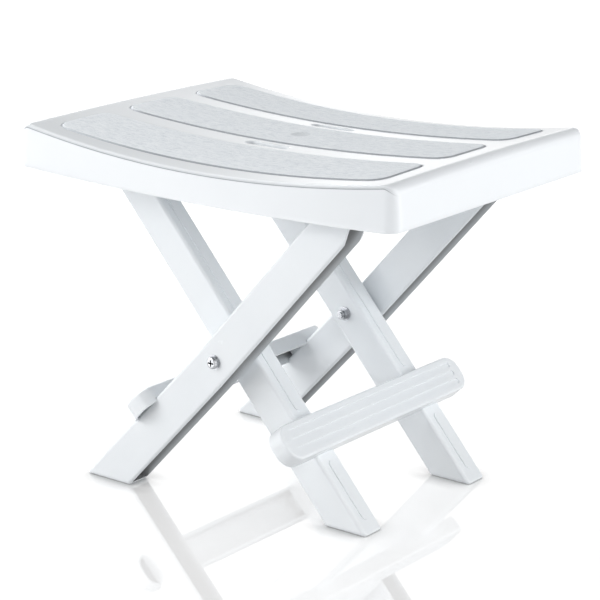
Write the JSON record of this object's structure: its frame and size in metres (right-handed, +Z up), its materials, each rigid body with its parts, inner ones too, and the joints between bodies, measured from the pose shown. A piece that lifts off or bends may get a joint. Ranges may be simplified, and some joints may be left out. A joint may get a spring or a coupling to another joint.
{
  "type": "folding stool",
  "caption": "Folding stool: a saddle-shaped moulded seat with drain slots on crossed channel legs that pivot on bolts, with a foot bar across each leg pair.",
  "frame": {"origin": "on the floor, under the middle of the seat", "axes": "+X along the seat, towards the inner legs' feet; +Y across the seat, from front to rear; +Z up"},
  "size_m": [0.4492, 0.3198, 0.3583],
  "materials": {
    "seat_plastic": "white moulded plastic, satin, with grained panels",
    "leg_plastic": "white moulded plastic, satin",
    "zinc_steel": "bright zinc plate",
    "spacer_plastic": "plain white plastic"
  },
  "bodies": {
    "inner_frame": {"inner_leg_front": "leg_plastic", "inner_leg_rear": "leg_plastic", "inner_foot_bar": "leg_plastic"},
    "seat": {"seat_top": "seat_plastic", "hinge_pin_front": "zinc_steel", "hinge_pin_rear": "zinc_steel"},
    "outer_frame": {"outer_leg_front": "leg_plastic", "outer_leg_rear": "leg_plastic", "outer_foot_bar": "leg_plastic", "pivot_bolt_front": "zinc_steel", "head_washer_front": "zinc_steel", "spacer_ring_front": "spacer_plastic", "nut_washer_front": "zinc_steel", "lock_nut_front": "zinc_steel", "pivot_bolt_rear": "zinc_steel", "head_washer_rear": "zinc_steel", "spacer_ring_rear": "spacer_plastic", "nut_washer_rear": "zinc_steel", "lock_nut_rear": "zinc_steel"}
  },
  "joints": [
    {"name": "seat_hinge", "type": "hinge", "parent": "inner_frame", "child": "seat", "pos_m": [-0.1443, 0, 0.316], "axis": [0, -1, 0], "range_deg": [0, 40]},
    {"name": "leg_pivot", "type": "hinge", "parent": "inner_frame", "child": "outer_frame", "pos_m": [0, 0, 0.15], "axis": [0, -1, 0], "range_deg": [0, 80]}
  ],
  "couplings": [
    {"joint": "leg_pivot", "follows": "seat_hinge", "ratio": 2}
  ]
}
